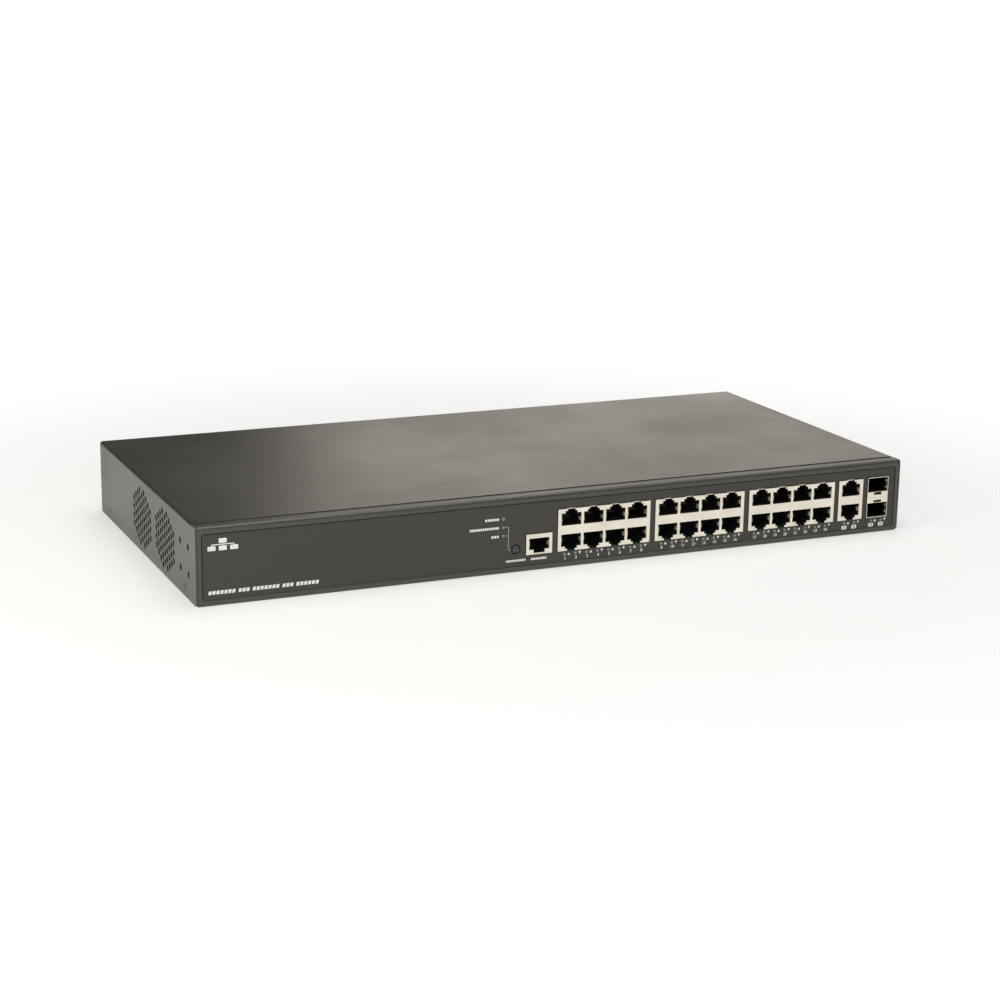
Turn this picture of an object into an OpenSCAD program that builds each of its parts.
// Rackmount network switch, one rack unit high: folded steel case, 24 + 2 shielded modular jacks,
// two stacked module cages, a console jack, a mode button, two side fans and a built-in power supply.
// Millimetres. X runs to the right, Y from the front to the rear, Z up from the underside.
// The origin is the centre of the underside.

/* [Case] */
// Width across the outer faces of the side walls
case_w = 440; // [438:1:441]
// Depth from the front face to the rear face
case_d = 211; // [211:1:215]
// Height of the case, one rack unit less its clearance
case_h = 44; // [43.8:0.1:44.4]
// Thickness of the sheet steel
sheet_t = 1; // [0.9:0.1:1.1]
// Distance of the cover's front edge behind the front face
cover_setback = 8.5; // [7:0.5:10]
// Outer radius of the folds
bend_r = 1.8; // [1.4:0.1:2.2]
// Depth of the pressed recess that takes the printed overlay
recess_depth = 0.4; // [0.3:0.1:0.5]

/* [Side walls] */
// Distance of the front pair of rack-ear holes behind the front face
ear_front = 14.4; // [13.5:0.1:15]
// Spacing of the rack-ear holes front to back
ear_pitch_y = 15.5; // [15:0.5:16]
// Height of the lower rack-ear holes
ear_low = 14.2; // [14:0.1:15]
// Spacing of the rack-ear holes up and down
ear_pitch_z = 15.2; // [15:0.1:15.6]
// Diameter of the rack-ear holes, for M4 screws
ear_hole_d = 4; // [4:0.1:4.3]
// Height of the cover screws on the side walls
side_screw_z = 5.3; // [5:0.1:6]
// Pitch of the ventilation holes down a column
grille_pitch = 5.15; // [5:0.05:5.3]
// Diameter of a ventilation hole
grille_hole_d = 3.9; // [3.5:0.1:4.1]

/* [Front ports] */
// Centre of the first group of eight jacks, right of the case's centre
group_x = 20.55; // [20:0.05:21]
// Distance from one group of jacks to the next
group_pitch = 62.05; // [61.8:0.05:62.2]
// Width of the shield round a group of jacks
group_w = 58.6; // [58:0.1:58.8]
// Pitch of the jacks in a group
jack_pitch = 13.97; // [13.9:0.01:14]
// Centre of the pair of uplink jacks
uplink_x = 185.5; // [185.2:0.1:185.8]
// Width of the shield round the uplink jacks
uplink_w = 16.9; // [16.4:0.1:17]
// Centre of the two stacked module cages
cage_x = 204.5; // [204.3:0.1:204.8]
// Width of a module cage
cage_w = 14.4; // [14.2:0.1:14.5]
// Centre of the console jack
console_x = -20.3; // [-20.6:0.1:-20]
// Centre of the mode button
button_x = -34.5; // [-34.8:0.1:-34]
// Height of the mode button
button_z = 13.1; // [13:0.1:13.5]

/* [Boards] */
// Height of the boards' upper face
board_top = 9.2; // [9:0.1:9.4]
// Thickness of the boards
board_t = 1.6; // [1.5:0.1:1.7]

/* [Fans] */
// Side of the square fan frame
fan_size = 40; // [39.5:0.5:40]
// Depth of the fan frame
fan_depth = 20; // [19:1:20]
// Number of blades on a fan
fan_blades = 7; // [5:1:9]
// Distance of the first fan's centre behind the front face
fan_1_back = 62; // [61:0.1:63]
// Distance of the second fan's centre behind the front face
fan_2_back = 111.4; // [110.5:0.1:113]
// Height of the fans' centres
fan_z = 21.1; // [21.1:0.1:21.4]

/* [Rear inlet] */
// Centre of the mains inlet, right of the case's centre
inlet_x = -170; // [-172:1:-168]
// Height of the mains inlet's centre
inlet_z = 22; // [21:0.5:23]

/* [Hidden] */
$fn = 48;

// Case faces
front_y = -case_d / 2;
rear_y = case_d / 2;
inner_x = case_w / 2 - sheet_t;
cover_front_y = front_y + cover_setback;
panel_top = case_h - sheet_t;
nose_top = case_h - 0.4;
cover_edge_gap = 0.25;
nose_r = 2.2;
relief_r = 0.7;
fold_clearance = 1;
cover_lip = 8;
flange_under_cover = 9;
panel_lip = 12;
hole_clearance = 0.05;
gap = 0.1;

// Printed overlay and its recess, as distances in from the case's outer edges
recess_left = 3.3;
recess_right = 3;
recess_low = 2.9;
recess_high = 39.8;
recess_corner_r = 1;
overlay_t = 0.2;

// Cover screws
side_screw_back = [22.3, 190];
screw_r = 1.45;
csk_head_r = 2.7;
csk_head_h = 0.9;
tab_half = 7;
tab_top = 10;
rear_screw_x = [-214.5, 0, 214.5];
rear_screw_z = 39.6;

// Shielded jacks, measured from the middle of a stacked pair
shield_t = 0.4;
jack_mid_z = 21.6;
jack_half_h = 12.35;
jack_depth = 42;
jack_front_y = front_y - 0.4;
window_gap = 0.3;
band_half = 2.6;
main_reach = 9.8;
step_reach = 11.2;
window_w = 12.4;
step_w = 7.5;
latch_w = 4.8;
housing_depth = 16;
cavity_depth = 12.5;
cavity_w = 11.9;
contact_pitch = 1.02;
console_w = 16.1;
console_low = board_top;
console_high = 21.1;
console_depth = 16;
console_mouth_top = 18.6;
console_main_low = 12;
console_step_low = 10;
console_step_w = 6.9;

// Module cages, measured from the seam between the two cages
cage_mid_z = 21.8;
cage_half_h = 12.5;
cage_depth = 48;
cage_wall = 0.3;
cage_front_y = front_y - 0.6;
cage_mouth_from = 3.4;
cage_mouth_to = 12.15;
cage_latch_w = 5.4;
cage_latch_from = 1.6;

// Indicators
led_z = 7.3;
led_r = 0.9;
led_pitch = jack_pitch / 2;
port_led_x = [
    for (g = [0:2]) for (i = [0:7]) group_x + g * group_pitch + (i - 3.5) * led_pitch - 0.25
];
uplink_led_x = [for (i = [0, 1]) uplink_x - 3.2 + i * led_pitch];
cage_led_x = [for (i = [0, 1]) cage_x - 3.2 + i * led_pitch];
status_x = -42.3;
status_z = [21.6, 26.6, 31.6];

// Boards: upper face, lower face, outlines as [low, high] pairs and fixing holes
board_low = board_top - board_t;
board_x = [-70, inner_x - 2];
board_y = [front_y + 5.1, 95];
psu_x = [-184, -84];
psu_y = [-60, 72];
board_holes = [for (x = [-64, 53, 115, 208]) for (y = [-52, 20, 88]) [x, y]];
psu_holes = concat(
    [for (x = [psu_x[0] + 5, psu_x[1] - 5]) for (y = [-55, 8]) [x, y]],
    [[psu_x[0] + 5, 52], [psu_x[1] - 5, 67]]
);
standoff_r = 2.75;
pcb_hole_r = 1.6;
chip_h = 1.6;

// Mode button
button_r = 2.2;
button_hole_r = 2.9;
button_flange_r = 3.4;
button_stem_r = 1.2;
switch_front_y = front_y + 6.4;

// Fans: centres, and places along X measured from the left wall's inner face
fan_y = [front_y + fan_1_back, front_y + fan_2_back];
fan_x = [-inner_x + 0.2, -inner_x + 0.2 + fan_depth];
fan_bore_r = 18.9;
fan_tip_r = 18.2;
fan_screw_pitch = 32;
hub_r = 10.2;
hub_wall = 1;
shaft_r = 1.5;
bearing_r = 3.2;
motor_plate_t = 2;

// Mains inlet
inlet_flange = [50, 22.5];
inlet_body = [27.4, 19.8];
inlet_mouth = [24.6, 16.8];
inlet_depth = 24;
inlet_flange_t = 2;
inlet_screw_pitch = 40;
inlet_pin_places = [[-7, -2], [7, -2], [0, 2]];
earth_x = inlet_x + 42;

// Parts inside: places on the boards, and the leads
chip_x = group_x + group_pitch;
chip_y = -6;
phy_y = -46;
transformer_x = -128;
transformer_y = 10;
bulk_x = -100;
sink_x = [-168, -108];
transistor_y = [-40, -22];
choke_x = -146;
wire_r = 0.8;
wire_top = 41.2;
header_x = -66;
supply_lead_y = -22;

case_colour = [0.30, 0.29, 0.26];
panel_colour = [0.24, 0.24, 0.23];
nickel = [0.86, 0.83, 0.76];
steel = [0.72, 0.72, 0.72];
black_plastic = [0.07, 0.07, 0.07];
board_green = [0.08, 0.30, 0.16];
copper = [0.75, 0.42, 0.20];
aluminium = [0.78, 0.79, 0.80];
clear_plastic = [0.85, 0.88, 0.88];

// ---- Shared shapes. x, y and z are [low, high] pairs ----

module box(x, y, z) {
    translate([x[0], y[0], z[0]])
        cube([x[1] - x[0], y[1] - y[0], z[1] - z[0]]);
}

module rod_x(r, x, y, z) {
    translate([x[0], y, z])
        rotate([0, 90, 0])
            cylinder(r = r, h = x[1] - x[0]);
}

module rod_y(r, x, y, z) {
    translate([x, y[0], z])
        rotate([-90, 0, 0])
            cylinder(r = r, h = y[1] - y[0]);
}

module rod_z(r, x, y, z) {
    translate([x, y, z[0]])
        cylinder(r = r, h = z[1] - z[0]);
}

// Extrudes an outline drawn in X and Z along Y
module extrude_y(y) {
    translate([0, y[1], 0])
        rotate([90, 0, 0])
            linear_extrude(y[1] - y[0])
                children();
}

// Extrudes an outline drawn in Y and Z along X
module extrude_x(x) {
    translate([x[0], 0, 0])
        rotate([90, 0, 90])
            linear_extrude(x[1] - x[0])
                children();
}

// Flat rectangle with round corners
module round_rect(x, y, r) {
    translate([x[0] + r, y[0]])
        square([x[1] - x[0] - 2 * r, y[1] - y[0]]);
    translate([x[0], y[0] + r])
        square([x[1] - x[0], y[1] - y[0] - 2 * r]);
    for (cx = [x[0] + r, x[1] - r])
        for (cy = [y[0] + r, y[1] - r])
            translate([cx, cy])
                circle(r = r);
}

// ---- Case ----

// Round ventilation holes in a staggered field: columns run along Y, holes up Z
module grille_outline(centre_y) {
    column_holes = [4, 5, 6, 7, 6, 7, 6, 5, 4];
    column_pitch = grille_pitch * sqrt(3) / 2;
    for (i = [0 : len(column_holes) - 1])
        for (k = [0 : column_holes[i] - 1])
            translate([
                centre_y + (i - (len(column_holes) - 1) / 2) * column_pitch,
                fan_z + (k - (column_holes[i] - 1) / 2) * grille_pitch
            ])
                circle(d = grille_hole_d);
}

module ear_hole_outline(d) {
    for (y = [0, ear_pitch_y])
        for (z = [0, ear_pitch_z])
            translate([front_y + ear_front + y, ear_low + z])
                circle(d = d);
}

// The side wall seen from the side: its nose runs on in front of the cover, level with the panel
module side_wall_outline() {
    difference() {
        union() {
            translate([cover_front_y, 0])
                square([rear_y - cover_front_y, case_h - bend_r]);
            translate([front_y, nose_r])
                square([cover_front_y - front_y, nose_top - 2 * nose_r]);
            translate([front_y + nose_r, 0])
                square([cover_front_y - front_y - nose_r, nose_top]);
            for (z = [nose_r, nose_top - nose_r])
                translate([front_y + nose_r, z])
                    circle(r = nose_r);
        }
        translate([cover_front_y, panel_top])
            circle(r = relief_r);
        for (y = fan_y)
            grille_outline(y);
        ear_hole_outline(ear_hole_d);
    }
}

module cover_fold_outline() {
    difference() {
        union() {
            translate([-case_w / 2 + bend_r, panel_top])
                square([case_w - 2 * bend_r, sheet_t]);
            for (s = [-1, 1])
                translate([s * (case_w / 2 - bend_r), case_h - bend_r])
                    circle(r = bend_r);
        }
        translate([-case_w / 2 + bend_r, 0])
            square([case_w - 2 * bend_r, panel_top]);
        for (s = [-1, 1])
            translate([s * (case_w / 2 - bend_r), case_h - bend_r])
                circle(r = bend_r - sheet_t);
        translate([-case_w / 2, 0])
            square([case_w, case_h - bend_r]);
    }
}

module side_screw_hole(s, y) {
    translate([s * case_w / 2, y, side_screw_z])
        rotate([0, -s * 90, 0]) {
            translate([0, 0, -0.01])
                cylinder(r1 = csk_head_r + hole_clearance, r2 = screw_r + 0.2, h = csk_head_h);
            translate([0, 0, -1])
                cylinder(r = screw_r + 0.2, h = 4);
        }
}

module top_cover() {
    color(case_colour)
        difference() {
            union() {
                extrude_y([cover_front_y, rear_y])
                    cover_fold_outline();
                for (s = [-1, 1])
                    extrude_x(s < 0 ? [-case_w / 2, -inner_x] : [inner_x, case_w / 2])
                        side_wall_outline();
                box([-inner_x + 1.5, inner_x - 1.5], [rear_y - 2 * sheet_t, rear_y - sheet_t],
                    [panel_top - cover_lip, panel_top]);
            }
            for (s = [-1, 1])
                for (back = side_screw_back)
                    side_screw_hole(s, front_y + back);
            for (x = rear_screw_x)
                rod_y(screw_r + hole_clearance, x, [rear_y - 3, rear_y - 0.5], rear_screw_z);
        }
}

module base_tray() {
    color(case_colour)
        difference() {
            union() {
                box([-inner_x, inner_x], [front_y + sheet_t, rear_y], [0, sheet_t]);
                extrude_y([rear_y - sheet_t, rear_y]) {
                    round_rect([-inner_x, inner_x], [0, panel_top - gap], fold_clearance);
                    translate([-inner_x, 0])
                        square([2 * inner_x, panel_top / 2]);
                }
                for (s = [-1, 1])
                    for (back = side_screw_back)
                        side_tab(s, front_y + back);
            }
            for (s = [-1, 1])
                for (back = side_screw_back)
                    rod_x(screw_r + hole_clearance, [s * inner_x - 3, s * inner_x + 3],
                        front_y + back, side_screw_z);
            for (x = rear_screw_x)
                rod_y(screw_r + 0.2, x, [rear_y - 2, rear_y + 1], rear_screw_z);
            rod_y(screw_r + hole_clearance, earth_x, [rear_y - 2, rear_y + 1], inlet_z);
            for (s = [-1, 1])
                rod_y(screw_r + hole_clearance, inlet_x + s * inlet_screw_pitch / 2,
                    [rear_y - 2, rear_y + 1], inlet_z);
            box([inlet_x - inlet_body[0] / 2 - gap, inlet_x + inlet_body[0] / 2 + gap],
                [rear_y - 2, rear_y + 1],
                [inlet_z - inlet_body[1] / 2 - gap, inlet_z + inlet_body[1] / 2 + gap]);
        }
}

// Upstanding tab inside the side wall, threaded for a cover screw
module side_tab(s, y) {
    box(s < 0 ? [-inner_x, -inner_x + 1.5] : [inner_x - 1.5, inner_x],
        [y - tab_half, y + tab_half], [0, tab_top]);
}

// Everything that shows through the front, grown by g all round
module front_window_outline(g) {
    for (i = [0:2])
        window_outline(group_x + i * group_pitch, group_w / 2, g);
    window_outline(uplink_x, uplink_w / 2, g);
    translate([cage_x - cage_w / 2 - g, cage_mid_z - cage_half_h - g])
        square([cage_w + 2 * g, 2 * (cage_half_h + g)]);
    translate([console_x - console_w / 2 - g, console_low - g])
        square([console_w + 2 * g, console_high - console_low + 2 * g]);
    translate([button_x, button_z])
        circle(r = button_hole_r);
}

module window_outline(x, half_w, g) {
    translate([x - half_w - g, jack_mid_z - jack_half_h - g])
        square([2 * (half_w + g), 2 * (jack_half_h + g)]);
}

module indicator_hole_outline(r) {
    for (x = concat(port_led_x, uplink_led_x, cage_led_x))
        translate([x, led_z])
            circle(r = r);
    for (z = status_z)
        translate([status_x, z])
            circle(r = r);
}

module recess_outline(shrink) {
    round_rect([-case_w / 2 + recess_left + shrink, case_w / 2 - recess_right - shrink],
        [recess_low + shrink, recess_high - shrink], recess_corner_r);
}

module front_panel() {
    width = [-inner_x + gap, inner_x - gap];
    color(panel_colour)
        difference() {
            union() {
                extrude_x(width)
                    panel_fold_outline();
                box([-inner_x + fold_clearance, inner_x - fold_clearance],
                    [cover_front_y - 2 * fold_clearance, cover_front_y + flange_under_cover],
                    [panel_top - sheet_t, panel_top]);
                box(width, [front_y + sheet_t / 2, front_y + panel_lip], [sheet_t, 2 * sheet_t]);
            }
            extrude_y([front_y - 1, front_y + recess_depth])
                recess_outline(0);
            extrude_y([front_y - 1, front_y + 3]) {
                front_window_outline(window_gap);
                indicator_hole_outline(led_r + hole_clearance);
            }
        }
}

// The front plate and the raised front strip of its top flange, with a round fold between
module panel_fold_outline() {
    translate([front_y, 0])
        square([sheet_t, nose_top - bend_r]);
    translate([front_y + bend_r, nose_top - sheet_t])
        square([cover_setback - bend_r - cover_edge_gap, sheet_t]);
    intersection() {
        translate([front_y + bend_r, nose_top - bend_r])
            difference() {
                circle(r = bend_r);
                circle(r = bend_r - sheet_t);
            }
        translate([front_y, nose_top - bend_r])
            square(bend_r);
    }
}

module front_overlay() {
    color([0.27, 0.27, 0.26])
        extrude_y([front_y + recess_depth - overlay_t, front_y + recess_depth])
            difference() {
                recess_outline(0.1);
                front_window_outline(window_gap);
                indicator_hole_outline(led_r + hole_clearance);
            }
}

// ---- Fasteners of the case ----

module cross_slot(size, depth) {
    for (a = [0, 90])
        rotate(a)
            translate([-size / 2, -size / 8, -depth])
                cube([size, size / 4, depth + 0.1]);
}

// Countersunk screw, its head's top at Z = 0 and its shank below
module countersunk_screw(length) {
    difference() {
        union() {
            translate([0, 0, -csk_head_h + 0.1])
                cylinder(r1 = screw_r, r2 = csk_head_r, h = csk_head_h - 0.1);
            translate([0, 0, -length])
                cylinder(r = screw_r, h = length - 0.5);
        }
        cross_slot(2.8, 0.6);
    }
}

// Pan head screw, the underside of its head at Z = 0
module pan_screw(length, head_r, head_h) {
    difference() {
        union() {
            translate([0, 0, -length])
                cylinder(r = screw_r, h = length + 0.1);
            cylinder(r = head_r, h = head_h * 0.6);
            translate([0, 0, head_h * 0.6])
                cylinder(r1 = head_r, r2 = head_r * 0.7, h = head_h * 0.4);
        }
        translate([0, 0, head_h])
            cross_slot(head_r * 1.1, head_h * 0.5);
    }
}

module cover_side_screws() {
    color(case_colour)
        for (s = [-1, 1])
            for (back = side_screw_back)
                translate([s * case_w / 2, front_y + back, side_screw_z])
                    rotate([0, s * 90, 0])
                        countersunk_screw(5);
}

module cover_rear_screws() {
    color(case_colour)
        for (x = rear_screw_x)
            translate([x, rear_y, rear_screw_z])
                rotate([-90, 0, 0])
                    pan_screw(5, 2.8, 1.8);
}

module ear_clinch_nuts() {
    color(steel)
        for (s = [-1, 1])
            extrude_x(s < 0 ? [-inner_x, -inner_x + 2] : [inner_x - 2, inner_x])
                difference() {
                    ear_hole_outline(7.1);
                    ear_hole_outline(ear_hole_d);
                }
}

// ---- Boards ----

module board(x, y, holes) {
    difference() {
        box(x, y, [board_low, board_top]);
        for (h = holes)
            rod_z(pcb_hole_r, h[0], h[1], [board_low - 1, board_top + 1]);
    }
}

module main_board() {
    color(board_green)
        board(board_x, board_y, board_holes);
}

module psu_board() {
    color([0.62, 0.52, 0.28])
        board(psu_x, psu_y, psu_holes);
}

module board_standoffs() {
    color(steel)
        for (h = concat(board_holes, psu_holes))
            difference() {
                rod_z(standoff_r, h[0], h[1], [sheet_t, board_low]);
                rod_z(screw_r + hole_clearance, h[0], h[1], [sheet_t + 1, board_low + 1]);
            }
}

module board_screws() {
    color(steel)
        for (h = concat(board_holes, psu_holes))
            translate([h[0], h[1], board_top])
                pan_screw(5, 2.8, 2);
}

module psu_insulator() {
    color([0.92, 0.90, 0.82])
        difference() {
            box([psu_x[0] - 2, psu_x[1] + 2], [psu_y[0] - 2, psu_y[1] + 2], [sheet_t, sheet_t + 0.4]);
            for (h = psu_holes)
                rod_z(standoff_r + 0.3, h[0], h[1], [0, 3]);
        }
}

// ---- Shielded jacks ----

// Keyed mouth of one jack: s is 1 for an upper jack, with its latch up, and -1 for a lower one
module jack_mouth_outline(x, s, trim) {
    low = band_half + trim;
    for (part = [
        [window_w - 2 * trim, main_reach - trim],
        [step_w - 2 * trim, step_reach - trim],
        [latch_w - 2 * trim, jack_half_h + 1]
    ])
        translate([x - part[0] / 2, s > 0 ? jack_mid_z + low : jack_mid_z - part[1]])
            square([part[0], part[1] - low]);
}

module jack_shield(x, w, columns) {
    back_y = jack_front_y + jack_depth;
    low = jack_mid_z - jack_half_h;
    high = jack_mid_z + jack_half_h;
    difference() {
        box([x - w / 2, x + w / 2], [jack_front_y, back_y], [low, high]);
        box([x - w / 2 + shield_t, x + w / 2 - shield_t],
            [jack_front_y + shield_t, back_y - shield_t], [low - 1, high - shield_t]);
        extrude_y([jack_front_y - 1, jack_front_y + 1.2])
            for (i = [0 : columns - 1])
                for (s = [-1, 1])
                    jack_mouth_outline(x + (i - (columns - 1) / 2) * jack_pitch, s, 0);
    }
}

// Moulded body of one jack, open at the front
module jack_housing(x, s) {
    face_y = jack_front_y + shield_t + gap;
    inner = 0.1;
    outer = jack_half_h - shield_t - gap;
    z = s > 0 ? [jack_mid_z + inner, jack_mid_z + outer] : [jack_mid_z - outer, jack_mid_z - inner];
    difference() {
        box([x - jack_pitch / 2 + gap, x + jack_pitch / 2 - gap], [face_y, face_y + housing_depth], z);
        extrude_y([face_y - 1, face_y + cavity_depth])
            jack_mouth_outline(x, s, 0.2);
    }
}

// Eight sprung wires and the comb that carries them
module contact_set(x, floor_z, s) {
    back = jack_front_y + shield_t + gap + cavity_depth - gap;
    translate([x, back, floor_z])
        scale([1, 1, s]) {
            box([-4.3, 4.3], [-1.3, 0], [0.1, 3]);
            for (i = [0:7])
                extrude_x([(i - 3.5) * contact_pitch - 0.2, (i - 3.5) * contact_pitch + 0.2])
                    polygon([[-8.6, 0.15], [-8.2, 0.15], [-1, 1.85], [-1, 2.2]]);
        }
}

module jack_group_housings(x, columns) {
    for (i = [0 : columns - 1])
        for (s = [-1, 1])
            jack_housing(x + (i - (columns - 1) / 2) * jack_pitch, s);
}

module port_shield_1() { color(nickel) jack_shield(group_x, group_w, 4); }
module port_shield_2() { color(nickel) jack_shield(group_x + group_pitch, group_w, 4); }
module port_shield_3() { color(nickel) jack_shield(group_x + 2 * group_pitch, group_w, 4); }
module uplink_shield() { color(nickel) jack_shield(uplink_x, uplink_w, 1); }
module jack_housings_1() { color(black_plastic) jack_group_housings(group_x, 4); }
module jack_housings_2() { color(black_plastic) jack_group_housings(group_x + group_pitch, 4); }
module jack_housings_3() { color(black_plastic) jack_group_housings(group_x + 2 * group_pitch, 4); }
module uplink_housings() { color(black_plastic) jack_group_housings(uplink_x, 1); }

module jack_contacts() {
    color([0.85, 0.68, 0.30]) {
        for (g = [0:2])
            for (i = [0:3])
                for (s = [-1, 1])
                    contact_set(group_x + g * group_pitch + (i - 1.5) * jack_pitch,
                        jack_mid_z + s * (band_half + 0.2), s);
        for (s = [-1, 1])
            contact_set(uplink_x, jack_mid_z + s * (band_half + 0.2), s);
        contact_set(console_x, console_mouth_top - 0.2, -1);
    }
}

// Potted transformers behind each block of jacks, inside its shield
module magnetics_modules() {
    y = [jack_front_y + shield_t + housing_depth + 0.3, jack_front_y + jack_depth - shield_t - gap];
    z = [board_top + 0.1, jack_mid_z + jack_half_h - shield_t - gap];
    color([0.10, 0.10, 0.11]) {
        for (g = [0:2])
            magnetics_block(group_x + g * group_pitch, group_w, y, z);
        magnetics_block(uplink_x, uplink_w, y, z);
    }
}

module magnetics_block(x, w, y, z) {
    box([x - w / 2 + 1, x + w / 2 - 1], y, z);
}

module console_mouth_outline(trim) {
    for (part = [[window_w, console_main_low], [console_step_w, console_step_low]])
        translate([console_x - part[0] / 2 + trim, part[1] + trim])
            square([part[0] - 2 * trim, console_mouth_top - part[1] - 2 * trim]);
}

module console_shield() {
    x = [console_x - console_w / 2, console_x + console_w / 2];
    color(nickel)
        difference() {
            box(x, [jack_front_y, jack_front_y + console_depth + 1], [console_low, console_high]);
            box([x[0] + shield_t, x[1] - shield_t],
                [jack_front_y + shield_t, jack_front_y + console_depth + 1 - shield_t],
                [console_low - 1, console_high - shield_t]);
            extrude_y([jack_front_y - 1, jack_front_y + 1])
                console_mouth_outline(0);
        }
}

module console_housing() {
    face_y = jack_front_y + shield_t + gap;
    color(black_plastic)
        difference() {
            box([console_x - console_w / 2 + 0.6, console_x + console_w / 2 - 0.6],
                [face_y, face_y + console_depth - 0.5],
                [console_low + 0.1, console_high - shield_t - gap]);
            extrude_y([face_y - 1, face_y + cavity_depth])
                console_mouth_outline(0.2);
        }
}

// ---- Module cages: s is 1 for the upper cage and -1 for the lower ----

module module_cage(s) {
    x = [cage_x - cage_w / 2, cage_x + cage_w / 2];
    inner_w = [x[0] + cage_wall, x[1] - cage_wall];
    translate([0, cage_front_y, cage_mid_z])
        scale([1, 1, s])
            difference() {
                box(x, [0, cage_depth], [0.05, cage_half_h]);
                box(inner_w, [-1, cage_depth - cage_wall], [cage_mouth_from, cage_mouth_to]);
                box(inner_w, [cage_wall, cage_depth - cage_wall],
                    [0.05 + cage_wall, cage_mouth_from - cage_wall]);
                box([cage_x - cage_latch_w / 2, cage_x + cage_latch_w / 2], [-1, 1],
                    [cage_latch_from, cage_mouth_from - 0.2]);
            }
}

module sfp_cage_upper() { color(nickel) module_cage(1); }
module sfp_cage_lower() { color(nickel) module_cage(-1); }

// Slotted edge connector at the inner end of each cage
module sfp_connectors() {
    color(black_plastic)
        for (s = [-1, 1])
            translate([0, cage_front_y, cage_mid_z])
                scale([1, 1, s])
                    difference() {
                        box([cage_x - 5.8, cage_x + 5.8], [38, cage_depth - 0.5],
                            [cage_mouth_from + 1, cage_mouth_from + 6.4]);
                        box([cage_x - 4.6, cage_x + 4.6], [37, 43],
                            [cage_mouth_from + 3.1, cage_mouth_from + 4.3]);
                    }
}

// ---- Indicators and the mode button ----

module light_strip(xs) {
    for (x = xs)
        rod_y(led_r, x, [front_y + 0.1, board_y[0] - gap], led_z);
    box([xs[0], xs[len(xs) - 1]], [front_y + 2.2, board_y[0] - 1], [led_z - 2, led_z - 0.5]);
}

module port_light_pipes() {
    color(clear_plastic) {
        for (g = [0:2])
            light_strip([for (i = [0:7]) port_led_x[g * 8 + i]]);
        light_strip(uplink_led_x);
        light_strip(cage_led_x);
    }
}

// Three guides that carry light up from the board to the front, side by side in one moulding
module status_light_guides() {
    color(clear_plastic) {
        for (i = [0:2]) {
            y = board_y[0] + 3 + i * 3;
            rod_y(led_r, status_x, [front_y + 0.1, y + led_r], status_z[i]);
            rod_z(led_r, status_x, y, [board_top + 1, status_z[i]]);
        }
        box([status_x - 0.7, status_x + 0.7], [board_y[0] + 2.5, board_y[0] + 9.5],
            [board_top + 2.5, board_top + 6]);
    }
}

// Side-firing parts under the front edge of the board, and three on top of it
module indicator_leds() {
    color([0.93, 0.95, 0.85]) {
        for (x = concat(port_led_x, uplink_led_x, cage_led_x))
            box([x - 0.8, x + 0.8], [board_y[0] + 0.1, board_y[0] + 1.3], [board_low - 1.1, board_low]);
        for (i = [0:2])
            box([status_x - 0.8, status_x + 0.8], [board_y[0] + 2.2 + i * 3, board_y[0] + 3.8 + i * 3],
                [board_top, board_top + 0.8]);
    }
}

module mode_button() {
    color([0.16, 0.16, 0.16]) {
        rod_y(button_r, button_x, [front_y, front_y + 4], button_z);
        rod_y(button_flange_r, button_x, [front_y + 2.2, front_y + 4], button_z);
        rod_y(button_stem_r, button_x, [front_y + 3, switch_front_y + 2], button_z);
    }
}

// Right-angle push switch; the button's stem runs in its bore
module tact_switch() {
    color(black_plastic)
        difference() {
            box([button_x - 3.2, button_x + 3.2], [switch_front_y, switch_front_y + 5.5],
                [board_top, button_z + 3]);
            rod_y(button_stem_r + 0.05, button_x, [switch_front_y - 1, switch_front_y + 3.5], button_z);
        }
}

// ---- Parts on the main board ----

module chip(x, y, side, h) {
    box([x - side / 2, x + side / 2], [y - side / 2, y + side / 2], [board_top, board_top + h]);
}

// Square heatsink with upright fins that stands on a chip
module fin_sink(x, y, side, h, fins) {
    low = board_top + chip_h;
    box([x - side / 2, x + side / 2], [y - side / 2, y + side / 2], [low, low + 2]);
    for (i = [0 : fins - 1]) {
        fx = x - side / 2 + 0.6 + i * (side - 1.2) / (fins - 1);
        box([fx - 0.6, fx + 0.6], [y - side / 2, y + side / 2], [low + 1, low + h]);
    }
}

module switch_chip() {
    color([0.12, 0.12, 0.13])
        chip(chip_x, chip_y, 27, chip_h);
}

module switch_heatsink() {
    color(aluminium)
        fin_sink(chip_x, chip_y, 42, 20, 11);
}

module phy_chips() {
    color([0.12, 0.12, 0.13])
        for (g = [0:2])
            chip(group_x + g * group_pitch, phy_y, 14, chip_h);
}

module phy_heatsinks() {
    color(aluminium)
        for (g = [0:2])
            fin_sink(group_x + g * group_pitch, phy_y, 22, 10, 7);
}

module memory_chips() {
    color([0.10, 0.10, 0.11])
        for (i = [0:2])
            box([130 + i * 16, 141 + i * 16], [-14, -1], [board_top, board_top + 1.1]);
}

module poe_controllers() {
    color([0.10, 0.10, 0.11])
        for (i = [0:2])
            chip(-45, -70 + i * 24, 10, 1);
}

module board_capacitors() {
    color([0.20, 0.22, 0.26])
        for (x = [-40, -26, -12, 30, 44, 150, 164, 178])
            rod_z(4, x, 62, [board_top, board_top + 12]);
}

module board_inductors() {
    color([0.25, 0.25, 0.25])
        for (x = [-40, -24, 60, 78, 150, 168])
            difference() {
                box([x - 6, x + 6], [34, 46], [board_top, board_top + 6]);
                rod_z(4.6, x, 40, [board_top + 5, board_top + 7]);
            }
}

// ---- Power supply ----

module bulk_capacitors() {
    color([0.12, 0.13, 0.16])
        for (y = [30, 55])
            rod_z(11, bulk_x, y, [board_top, board_top + 31]);
}

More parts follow.
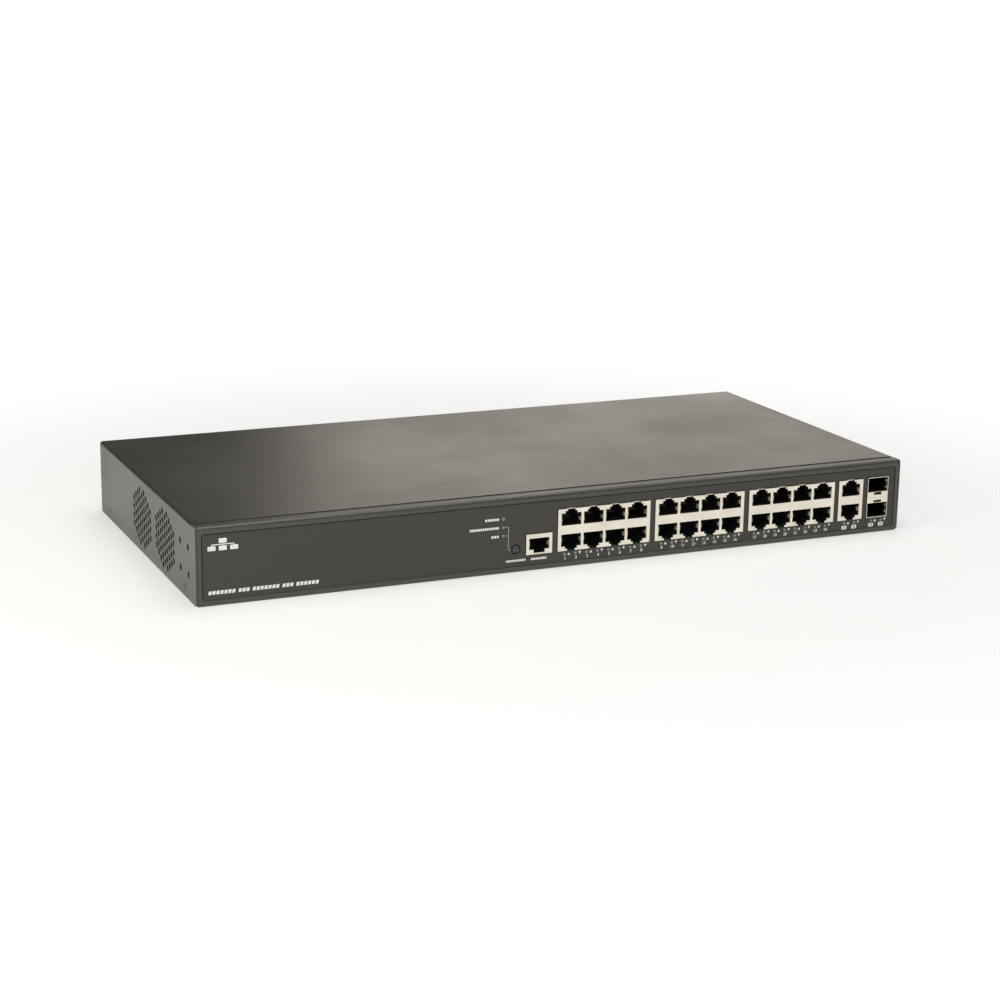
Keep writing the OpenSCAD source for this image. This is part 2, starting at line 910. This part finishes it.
module transformer_core() {
    color([0.20, 0.20, 0.21])
        difference() {
            box([transformer_x - 17, transformer_x + 17], [transformer_y - 14, transformer_y + 14],
                [board_top + 2, board_top + 30]);
            box([transformer_x - 12, transformer_x + 12], [transformer_y - 15, transformer_y + 15],
                [board_top + 6.5, board_top + 25.5]);
        }
}

module transformer_winding() {
    color([0.82, 0.72, 0.25])
        box([transformer_x - 11.5, transformer_x + 11.5], [transformer_y - 18, transformer_y + 18],
            [board_top + 7, board_top + 25]);
}

module psu_heatsinks() {
    color(aluminium)
        for (x = sink_x)
            difference() {
                box([x - 1.5, x + 1.5], [-50, x == sink_x[0] ? 30 : -12], [board_top, board_top + 29]);
                for (y = transistor_y)
                    rod_x(screw_r, [x - 2, x + 2], y, board_top + 24);
            }
}

module power_transistors() {
    color([0.10, 0.10, 0.11])
        for (x = sink_x)
            for (y = transistor_y) {
                box([x + 1.5, x + 6], [y - 5, y + 5], [board_top + 4, board_top + 20]);
                box([x + 3, x + 3.6], [y - 3, y + 3], [board_top, board_top + 4]);
            }
}

module line_chokes() {
    color(copper)
        for (y = [44, 60]) {
            translate([choke_x, y, board_top + 12])
                rotate([90, 0, 0])
                    difference() {
                        cylinder(r = 11.5, h = 9, center = true);
                        cylinder(r = 5, h = 12, center = true);
                    }
            box([choke_x - 5, choke_x + 5], [y - 4.5, y + 4.5], [board_top, board_top + 3]);
        }
}

module filter_capacitors() {
    color([0.80, 0.70, 0.20])
        for (y = [42, 58])
            box([-174, -160], [y - 4, y + 4], [board_top, board_top + 18]);
}

// Appliance inlet: a flanged housing with a deep mouth for the mating connector
module ac_inlet() {
    color(black_plastic)
        difference() {
            union() {
                extrude_y([rear_y, rear_y + inlet_flange_t])
                    round_rect([inlet_x - inlet_flange[0] / 2, inlet_x + inlet_flange[0] / 2],
                        [inlet_z - inlet_flange[1] / 2, inlet_z + inlet_flange[1] / 2], 3);
                box([inlet_x - inlet_body[0] / 2, inlet_x + inlet_body[0] / 2],
                    [rear_y - inlet_depth, rear_y + 0.5],
                    [inlet_z - inlet_body[1] / 2, inlet_z + inlet_body[1] / 2]);
            }
            extrude_y([rear_y - 15, rear_y + 5])
                inlet_mouth_outline();
            for (s = [-1, 1])
                translate([inlet_x + s * inlet_screw_pitch / 2, rear_y + inlet_flange_t, inlet_z])
                    rotate([90, 0, 0]) {
                        translate([0, 0, -0.01])
                            cylinder(r1 = csk_head_r + hole_clearance, r2 = screw_r + 0.2, h = csk_head_h);
                        cylinder(r = screw_r + 0.2, h = 4);
                    }
            for (p = inlet_pin_places)
                box([inlet_x + p[0] - 1.1, inlet_x + p[0] + 1.1], [rear_y - inlet_depth - 1, rear_y],
                    [inlet_z + p[1] - 2.1, inlet_z + p[1] + 2.1]);
        }
}

module inlet_mouth_outline() {
    w = inlet_mouth[0] / 2;
    h = inlet_mouth[1] / 2;
    cut = 4.5;
    translate([inlet_x, inlet_z])
        polygon([[-w, -h], [w, -h], [w, h - cut], [w - cut, h], [cut - w, h], [-w, h - cut]]);
}

module inlet_pins() {
    color(steel)
        for (p = inlet_pin_places)
            box([inlet_x + p[0] - 1, inlet_x + p[0] + 1], [rear_y - inlet_depth - 5, rear_y - 1.5],
                [inlet_z + p[1] - 2, inlet_z + p[1] + 2]);
}

module inlet_screws() {
    color(steel)
        for (s = [-1, 1])
            translate([inlet_x + s * inlet_screw_pitch / 2, rear_y + inlet_flange_t, inlet_z])
                rotate([-90, 0, 0])
                    countersunk_screw(7);
}

module earth_screw() {
    color([0.80, 0.68, 0.35])
        translate([earth_x, rear_y, inlet_z])
            rotate([-90, 0, 0])
                pan_screw(6, 3, 1.9);
}

// ---- Fans ----

// Places a fan's parts with its axis along Z and the wall side at Z = 0
module at_fan(i) {
    translate([fan_x[0], fan_y[i], fan_z])
        rotate([0, 90, 0])
            children();
}

module fan_corner_holes(r, low, high) {
    for (a = [-1, 1])
        for (b = [-1, 1])
            translate([a * fan_screw_pitch / 2, b * fan_screw_pitch / 2, low])
                cylinder(r = r, h = high - low);
}

module fan_frame() {
    difference() {
        linear_extrude(fan_depth)
            round_rect([-fan_size / 2, fan_size / 2], [-fan_size / 2, fan_size / 2], 2.5);
        translate([0, 0, -1])
            cylinder(r = fan_bore_r, h = fan_depth + 2);
        fan_corner_holes(1.7, -1, fan_depth + 1);
    }
    translate([0, 0, fan_depth - motor_plate_t])
        difference() {
            union() {
                cylinder(r = hub_r, h = motor_plate_t);
                for (a = [45, 135, 225, 315])
                    rotate(a)
                        translate([hub_r - 1, -1.1, 0])
                            cube([fan_bore_r - hub_r + 1.5, 2.2, motor_plate_t]);
            }
            translate([0, 0, -1])
                cylinder(r = bearing_r - 0.5, h = motor_plate_t);
        }
    translate([0, 0, 5])
        difference() {
            cylinder(r = bearing_r, h = fan_depth - motor_plate_t - 5);
            translate([0, 0, -1])
                cylinder(r = shaft_r + 0.04, h = 12);
        }
}

// Cup with swept blades and the shaft on its axis
module fan_rotor() {
    length = fan_depth - motor_plate_t - 2;
    difference() {
        translate([0, 0, 1])
            cylinder(r = hub_r, h = length);
        translate([0, 0, 2.5])
            cylinder(r = hub_r - hub_wall, h = length);
    }
    translate([0, 0, 2])
        cylinder(r = shaft_r, h = 11);
    intersection() {
        for (i = [0 : fan_blades - 1])
            rotate(i * 360 / fan_blades)
                translate([0, 0, 1 + length / 2])
                    rotate([38, 0, 0])
                        translate([hub_r - 0.4, -0.6, -9])
                            cube([10, 1.2, 18]);
        difference() {
            translate([0, 0, 2])
                cylinder(r = fan_tip_r, h = length - 2);
            translate([0, 0, 1])
                cylinder(r = hub_r - hub_wall / 2, h = length);
        }
    }
}

// Wound poles on the bearing tube, inside the rotor's cup
module fan_stator() {
    translate([0, 0, 5.5])
        difference() {
            cylinder(r = 8.4, h = 9);
            translate([0, 0, -1])
                cylinder(r = bearing_r + 0.1, h = 11);
            for (a = [45, 135, 225, 315])
                rotate(a)
                    translate([5.2, -0.8, -1])
                        cube([5, 1.6, 11]);
        }
}

module fan_1_frame() { color(black_plastic) at_fan(0) fan_frame(); }
module fan_2_frame() { color(black_plastic) at_fan(1) fan_frame(); }
module fan_1_rotor() { color([0.13, 0.13, 0.14]) at_fan(0) fan_rotor(); }
module fan_2_rotor() { color([0.13, 0.13, 0.14]) at_fan(1) fan_rotor(); }

module fan_stators() {
    color(copper)
        for (i = [0, 1])
            at_fan(i)
                fan_stator();
}

// Plate that holds both fans from inside, so that no screw shows on the side wall
module fan_bracket() {
    plate_x = [fan_x[1], fan_x[1] + 1];
    plate_y = [fan_y[0] - 21, fan_y[1] + 21];
    color(steel) {
        difference() {
            box(plate_x, plate_y, [sheet_t, sheet_t + 40]);
            for (i = [0, 1])
                at_fan(i) {
                    translate([0, 0, fan_depth - 1])
                        cylinder(r = fan_bore_r, h = 4);
                    fan_corner_holes(1.6, fan_depth - 1, fan_depth + 3);
                }
        }
        box([plate_x[0], plate_x[1] + 8], plate_y, [sheet_t, sheet_t + 1]);
    }
}

module fan_screws() {
    color(steel)
        for (i = [0, 1])
            at_fan(i)
                for (a = [-1, 1])
                    for (b = [-1, 1])
                        translate([a * fan_screw_pitch / 2, b * fan_screw_pitch / 2, fan_depth + 1])
                            pan_screw(8, 2.6, 1.8);
}

// ---- Wiring inside the case ----

module header(x, y, w) {
    box([x - 3, x + 3], [y - w / 2, y + w / 2], [board_top, board_top + 6]);
}

// Fan lead: off the bracket, across the supply under the cover and down to its header
module fan_lead(i) {
    y = fan_y[i] - 17;
    rod_x(wire_r, [fan_x[1] + 1.1, header_x], y, wire_top);
    translate([header_x, y, wire_top])
        sphere(r = wire_r);
    rod_z(wire_r, header_x, y, [board_top + 5, wire_top]);
    header(header_x, y, 6);
}

// Low-voltage leads from the supply to the main board
module supply_leads() {
    ends = [psu_x[1] - 6, header_x];
    for (k = [-1, 0, 1]) {
        rod_x(wire_r, ends, supply_lead_y + k * 3, board_top + 10);
        for (x = ends) {
            translate([x, supply_lead_y + k * 3, board_top + 10])
                sphere(r = wire_r);
            rod_z(wire_r, x, supply_lead_y + k * 3, [board_top + 5, board_top + 10]);
        }
    }
    for (x = ends)
        header(x, supply_lead_y, 10);
}

// Mains leads from the inlet's tabs down to the supply board
module mains_leads() {
    tab_y = rear_y - inlet_depth - 5;
    for (p = inlet_pin_places) {
        y = psu_y[1] - 4 - abs(p[0]) / 7 * 3;
        rod_y(wire_r, inlet_x + p[0], [y, tab_y - 0.05], inlet_z + p[1]);
        translate([inlet_x + p[0], y, inlet_z + p[1]])
            sphere(r = wire_r);
        rod_z(wire_r, inlet_x + p[0], y, [board_top, inlet_z + p[1]]);
    }
}

module inner_wiring() {
    color([0.75, 0.12, 0.10]) {
        for (i = [0, 1])
            fan_lead(i);
        supply_leads();
        mains_leads();
    }
}

base_tray();
top_cover();
front_panel();
front_overlay();
cover_side_screws();
cover_rear_screws();
ear_clinch_nuts();
main_board();
board_standoffs();
board_screws();
port_shield_1();
port_shield_2();
port_shield_3();
jack_housings_1();
jack_housings_2();
jack_housings_3();
jack_contacts();
magnetics_modules();
uplink_shield();
uplink_housings();
console_shield();
console_housing();
sfp_cage_upper();
sfp_cage_lower();
sfp_connectors();
port_light_pipes();
status_light_guides();
indicator_leds();
mode_button();
tact_switch();
switch_chip();
switch_heatsink();
phy_chips();
phy_heatsinks();
memory_chips();
poe_controllers();
board_capacitors();
board_inductors();
psu_board();
psu_insulator();
bulk_capacitors();
transformer_core();
transformer_winding();
psu_heatsinks();
power_transistors();
line_chokes();
filter_capacitors();
ac_inlet();
inlet_pins();
inlet_screws();
earth_screw();
fan_bracket();
fan_1_frame();
fan_2_frame();
fan_1_rotor();
fan_2_rotor();
fan_stators();
fan_screws();
inner_wiring();
